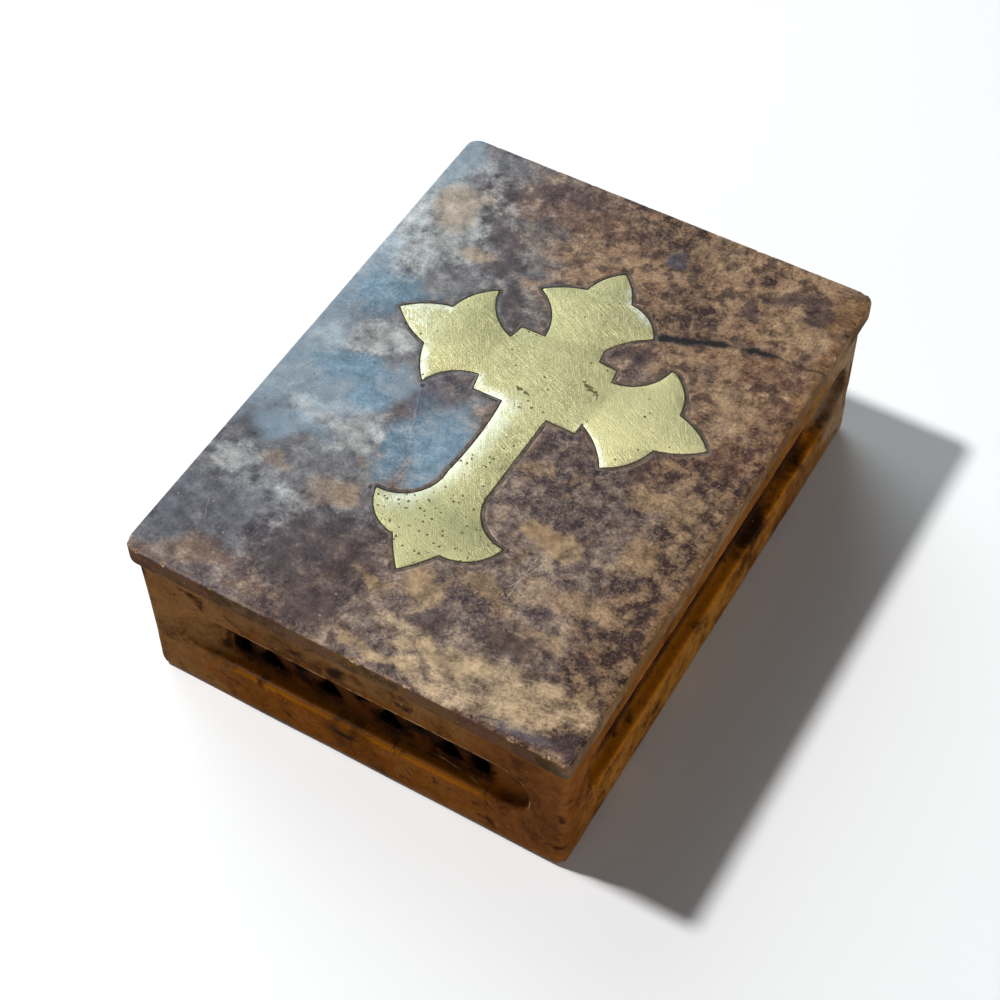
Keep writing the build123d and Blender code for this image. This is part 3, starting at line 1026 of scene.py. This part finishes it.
def noise_at(places, size, seed):
    """Smooth noise from -1 to 1 at each place."""
    shift = Vector((seed * 17.3, seed * 5.1, seed * 9.7))
    return np.array([noise.noise(Vector(place) / size + shift) for place in places])


def scoop(places, chips):
    """Conchoidal chips: whatever lies inside a chip's ball is pushed to its far side."""
    depth = np.zeros(len(places))
    for middle, radius in chips:
        offset = places - np.array(middle)
        gap = np.linalg.norm(offset, axis=1)
        inside = gap < radius
        if inside.any():
            push = radius / np.maximum(gap[inside], 1e-6)
            places[inside] = np.array(middle) + offset[inside] * push[:, None]
        depth = np.maximum(depth, held((radius * 1.06 - gap) / (radius * 0.2)))
    return depth


def cloud_fields(places, tables, seed):
    """How far inside each kind of cloud every place is: 1 in its heart, 0 outside."""
    warp = np.stack([noise_at(places, 4.5, seed + turn) for turn in range(3)], axis=1) * 2.2
    warped = places + warp
    fields = {}
    for table in tables:
        for kind, clouds in table.items():
            for x, y, z, a, b, c, *turn in clouds:
                offset = warped - np.array((x, y, z))
                angle = math.radians(sum(turn))
                cosine, sine = math.cos(angle), math.sin(angle)
                along = offset[:, 0] * cosine + offset[:, 1] * sine
                over = offset[:, 1] * cosine - offset[:, 0] * sine
                reach = np.sqrt((along / a) ** 2 + (over / b) ** 2 + (offset[:, 2] / c) ** 2)
                fields[kind] = np.maximum(fields.get(kind, 0), held(1.4 - reach))
    return fields


def through_lid(table):
    """Clouds given from above, each with its middle on the lid's top and its depth added."""
    return {
        kind: [(x, y, lid_top, a, b, cloud_depth, *turn) for x, y, a, b, *turn in clouds]
        for kind, clouds in table.items()
    }


def edge_chips(chips, high, seed, count):
    """Balls for the named chips and for small seeded nicks along the edges."""
    half_width, half_length, top = high
    chance = random.Random(seed)
    listed = list(chips)
    for _ in range(count):
        side = chance.choice((-1, 1))
        size = chance.uniform(0.25, 0.65)
        if chance.random() < 0.57:
            listed.append((side * half_width, chance.uniform(-1, 1) * half_length, size))
        else:
            listed.append((chance.uniform(-1, 1) * half_width, side * half_length, size))
    balls = []
    for x, y, radius in listed:
        out_x = math.copysign(1, x) if abs(x) > half_width - 1 else 0
        out_y = math.copysign(1, y) if abs(y) > half_length - 1 else 0
        away = Vector((out_x, out_y, chance.uniform(0.7, 1.3))).normalized()
        middle = Vector((x, y, top)) + away * radius * chance.uniform(0.45, 0.65)
        balls.append((tuple(middle), radius))
    return balls


def swayed(mesh, sway, seed, still):
    """Lets the faces dip a little, as hand work does, except where the still mask is 1."""
    places = places_of(mesh)
    dip = (0.5 + 0.5 * noise_at(places, 12.0, seed)) * sway / MM * (1 - still)
    return places - normals_of(mesh) * dip[:, None]


def rubbed_recesses(places, sunk, high):
    """Where the recesses' lower lips and the near recess's left end are rubbed soft."""
    x, y, z = places.T
    lip = held(1.6 - np.abs(z - recess_lip) / 1.7) * held(2.6 - sunk)
    end = held((-26.5 - x) / 3) * (y < -high[1] + near_recess_depth)
    return np.maximum(lip, end * held(1.3 - np.abs(z - 14) / 9))


def fill_left_end(places, high):
    """The near recess left shallow at its left end, where the carver cut it short."""
    x, y, z = places.T
    fill = held((-21.5 - x) / 8) * held((x + 33.5) / 1.5) * 0.5
    fill = fill * (y < -high[1] + near_recess_depth) * (z > 8) * (z < 20.2)
    places[:, 1] -= (y + high[1]) * fill


def recess_fields(places, normals, high):
    """Masks of painted light on the recesses' up-facing ledges, of painted shade on their back walls, in
    the openings and in the hollow behind them, and of stain and shade round the openings.
    """
    across, along = np.abs(places[:, 0]), np.abs(places[:, 1])
    height, upward = places[:, 2], normals[:, 2]
    sunk = side_depth(places, high)
    within = held((height - recess_foot) / 0.8) * (height < recess_head) * (sunk < 6.0)
    long_side = high[0] - across < high[1] - along
    # painted light on the recesses' up-facing ledges, fading towards their ends
    ledge = within * held(upward * 1.6) * held((3.6 - sunk) / 1.6)
    reach = np.where(long_side, (43 - along) / 7, (26.5 - across) / 6)
    middle = np.where(long_side, (40 - along) / 8, (25.5 - across) / 7)
    # painted shade on the recesses' deeper walls
    wall = within * held((sunk - 1.2) / 1.3) * np.clip(middle, 0.15, 1)
    # the openings' walls and the hollow behind them, which the finish paints near-black as shade
    hole = within * held((sunk - recess_back) / 0.3) * (height > openings_foot)
    behind = (sunk > hollow_start) * held(1.5 - np.abs(height - openings_middle) / 5.5) * 0.6
    return {
        "ledge": ledge * np.clip(reach, 0.12, 1),
        "wall": wall * held(1.25 - upward * np.where(long_side, 1.05, 0.8)),
        "hole": np.maximum(hole, behind),
        "stain": held(1.15 - distance_from(places, hole > 0.5) / 2.2) * within,
    }


class TRINKET_OT_carve_body(bpy.types.Operator):
    """Carve the hollow body with its pierced recesses"""

    bl_idname = "trinket.carve_body"
    bl_label = "Carve the body"

    def execute(self, context):
        tones = context.scene.trinket_body
        mesh = even_mesh("box_body", "carved_box", tones.grain)
        low, high = np.array(body_low) / MM, np.array(body_high) / MM
        places = places_of(mesh)
        sunk = side_depth(places, high)
        mesh = softened(mesh, rubbed_recesses(places, sunk, high), 40)
        patchy = 0.5 + 0.9 * noise_at(places, 4.0, 21)
        mesh = softened(mesh, patchy, 2)
        rims = edge_and_nook(mesh, 3)[0] * (sunk > 2.2) * (sunk < 4.5) * (places[:, 2] < 19.5)
        mesh = softened(mesh, rims, 8)
        edge, nook = edge_and_nook(mesh, 3)
        places = places_of(mesh)
        fill_left_end(places, high)
        keep_places(mesh, places)
        places = swayed(mesh, tones.sway, 5, held(sunk - 5.5))
        scoop(places, body_chips)
        keep_places(mesh, np.clip(places, low, high))
        keep_fields(mesh, {"edge": edge, "nook": nook})
        mesh = thinned(mesh)
        places = places_of(mesh)
        keep_fields(mesh, cloud_fields(places, [body_clouds], 11))
        keep_fields(mesh, recess_fields(places, normals_of(mesh), high))
        new_piece("carved_box", mesh, body_finish(tones), "box", "box_body")
        return {"FINISHED"}


class TRINKET_OT_carve_lid(bpy.types.Operator):
    """Carve the slab of the lid, with its chipped edges and its crack"""

    bl_idname = "trinket.carve_lid"
    bl_label = "Carve the lid"

    def execute(self, context):
        tones = context.scene.trinket_lid
        mesh = even_mesh("lid", "lid_slab", tones.grain)
        low, high = np.array(lid_low) / MM, np.array(lid_high) / MM
        places = places_of(mesh)
        inset = side_depth(places, high)
        outer = held(1.6 - inset)
        patchy = outer * (0.35 + 1.1 * noise_at(places, 2.6, 31))
        mesh = softened(mesh, patchy, 3)
        edge = edge_and_nook(mesh, 2)[0]
        gap = distance_from_brass(places)
        places = swayed(mesh, tones.sway, 2, held(1.4 - gap / 3))
        slip = scoop(places, [((x, y, lid_top + slip_lift), radius) for x, y, radius in pocket_overruns])
        chip = scoop(places, edge_chips(lid_chips, high, 8, 90))
        keep_places(mesh, np.clip(places, low, high))
        keep_fields(mesh, {
            "edge": edge * outer, "chip": chip, "slip": slip,
            "joint": held(1.35 - np.abs(gap - 0.55) / 0.6), "rim": held(1.7 - inset / 0.6),
        })
        mesh = thinned(mesh)
        clouds = [through_lid(lid_clouds), lid_side_clouds]
        keep_fields(mesh, cloud_fields(places_of(mesh), clouds, 4))
        keep_fields(mesh, {"side": held(1.35 - np.abs(normals_of(mesh)[:, 2]) * 1.9)})
        new_piece("lid_slab", mesh, lid_finish(tones), "lid", "lid")
        return {"FINISHED"}


class TRINKET_OT_let_in_cross(bpy.types.Operator):
    """Let the brass cross into the lid"""

    bl_idname = "trinket.let_in_cross"
    bl_label = "Let in the cross"

    def execute(self, context):
        tones = context.scene.trinket_brass
        bm = cad_copy("brass_cross")
        bmesh.ops.dissolve_limit(bm, angle_limit=0.01, verts=bm.verts, edges=bm.edges)
        top = cross_high.z - top_gap
        rim = [edge for edge in bm.edges if all(vert.co.z > top for vert in edge.verts)]
        bmesh.ops.bevel(
            bm, geom=rim, offset=tones.rounding, offset_type="OFFSET", segments=3, profile=0.5,
            affect="EDGES", material=-1, clamp_overlap=True,
        )
        bmesh.ops.triangulate(bm, faces=[face for face in bm.faces if len(face.verts) > 4])
        for face in bm.faces:
            face.smooth = True
        mesh = mesh_of(bm, "inlaid_cross")
        mesh.set_sharp_from_angle(angle=math.radians(50))
        new_piece("inlaid_cross", mesh, brass_finish(tones), "lid", "brass_cross")
        return {"FINISHED"}


class TRINKET_OT_set_cement(bpy.types.Operator):
    """Set the cement that beds the brass"""

    bl_idname = "trinket.set_cement"
    bl_label = "Set the cement"

    def execute(self, context):
        tones = context.scene.trinket_cement
        brass = brass_tree()
        bm = cad_copy("setting_cement")
        outer = bm.verts.layers.float.new("outer")
        top = max(vert.co.z for vert in bm.verts) - top_gap
        for vert in bm.verts:
            if vert.co.z > top:
                away = vert.co - brass.find_nearest(vert.co)[0]
                away.z = 0
                if away.length > cement_outer * MM:
                    vert[outer] = 1.0
                    vert.co += away.normalized() * tones.spread
                vert.co.z += cement_lift * MM
        mesh = mesh_of(bm, "cement_joint")
        new_piece("cement_joint", mesh, cement_finish(tones), "lid", "setting_cement")
        return {"FINISHED"}


class TRINKET_OT_build_stage(bpy.types.Operator):
    """Build the floor, the lights and the camera"""

    bl_idname = "trinket.build_stage"
    bl_label = "Build the stage"

    def floor(self, settings):
        """Pale round floor."""
        bm = bmesh.new()
        bmesh.ops.create_circle(bm, cap_ends=True, radius=floor_radius, segments=96)
        mesh = mesh_of(bm, "floor")
        material, nodes = finish_of("pale_floor")
        tint = nodes.solid(settings.floor)
        close_finish(nodes, {"Base Color": tint, "Roughness": 0.9, "Specular IOR Level": 0.0})
        mesh.materials.append(material)
        placed("floor", mesh)

    def key_light(self, settings):
        """Round lamp high on the left."""
        lamp = bpy.data.lights.new("key_light", "AREA")
        lamp.shape = "DISK"
        lamp.size = key_size
        lamp.energy = settings.key
        toward = Vector(toward_key).normalized()
        turn = toward.to_track_quat("Z", "Y").to_matrix().to_4x4()
        placed("key_light", lamp).matrix_world = Matrix.Translation(toward * key_distance) @ turn

    def studio(self, settings):
        """Soft window on the left and low fills on the right and in front."""
        world = bpy.data.worlds.new("studio")
        world.use_nodes = True
        sky = Nodes(world.node_tree)
        way = sky.add("ShaderNodeTexCoord", output="Generated")
        window, right, front = (
            sky.vector("DOT_PRODUCT", way, Vector(toward).normalized())
            for toward in (toward_window, toward_fill, toward_front)
        )
        glow = window.rise(0.82, 1.0) * settings.window
        fill = right.rise(0.8, 0.98) * settings.fill * sky.part(way, "Z").rise(0.34, 0.02)
        fill = fill + front.rise(0.75, 0.98) * settings.fill * 0.05
        tint = sky.mix((1.0, 1.0, 1.0), (0.82, 0.94, 1.0), window.rise(0.8, 0.95))
        strength = glow + fill + settings.sky
        seen = sky.add("ShaderNodeLightPath", output="Is Camera Ray")
        strength = strength + seen * (1.05 - strength)
        surface = sky.add("ShaderNodeBackground", None, {"Color": tint, "Strength": strength})
        sky.add("ShaderNodeOutputWorld", None, {"Surface": surface})
        return world

    def camera(self):
        """Camera at the photograph's place."""
        lens = bpy.data.cameras.new("camera")
        lens.lens = camera_lens
        lens.sensor_width = 36.0
        place = Vector(camera_place) * MM
        turn = (Vector(camera_aim) * MM - place).to_track_quat("-Z", "Y").to_matrix()
        turn = turn @ Matrix.Rotation(math.radians(camera_roll), 3, "Z")
        camera = placed("camera", lens)
        camera.matrix_world = Matrix.Translation(place) @ turn.to_4x4()
        return camera

    def execute(self, context):
        scene = context.scene
        settings = scene.trinket_stage
        self.floor(settings)
        self.key_light(settings)
        scene.world = self.studio(settings)
        scene.camera = self.camera()
        scene.view_settings.view_transform = "Standard"
        return {"FINISHED"}


class TRINKET_PT_box(bpy.types.Panel):
    """Sidebar panel of the trinket box"""

    bl_label = "Trinket box"
    bl_space_type = "VIEW_3D"
    bl_region_type = "UI"
    bl_category = "Trinket box"

    def draw(self, context):
        for group, settings, operator in steps:
            box = self.layout.box()
            for name in settings.__annotations__:
                box.prop(getattr(context.scene, group), name)
            box.operator(operator.bl_idname)


steps = (
    ("trinket_body", BodyStone, TRINKET_OT_carve_body),
    ("trinket_lid", LidStone, TRINKET_OT_carve_lid),
    ("trinket_brass", BrassFinish, TRINKET_OT_let_in_cross),
    ("trinket_cement", CementFinish, TRINKET_OT_set_cement),
    ("trinket_stage", StageSettings, TRINKET_OT_build_stage),
)


def register():
    for group, settings, operator in steps:
        bpy.utils.register_class(settings)
        bpy.utils.register_class(operator)
        setattr(bpy.types.Scene, group, bpy.props.PointerProperty(type=settings))
    bpy.utils.register_class(TRINKET_PT_box)


def unregister():
    bpy.utils.unregister_class(TRINKET_PT_box)
    for group, settings, operator in reversed(steps):
        delattr(bpy.types.Scene, group)
        bpy.utils.unregister_class(operator)
        bpy.utils.unregister_class(settings)


def main():
    register()
    bpy.ops.trinket.carve_body()
    bpy.ops.trinket.carve_lid()
    bpy.ops.trinket.let_in_cross()
    bpy.ops.trinket.set_cement()
    bpy.ops.trinket.build_stage()


if __name__ == "__main__":
    main()
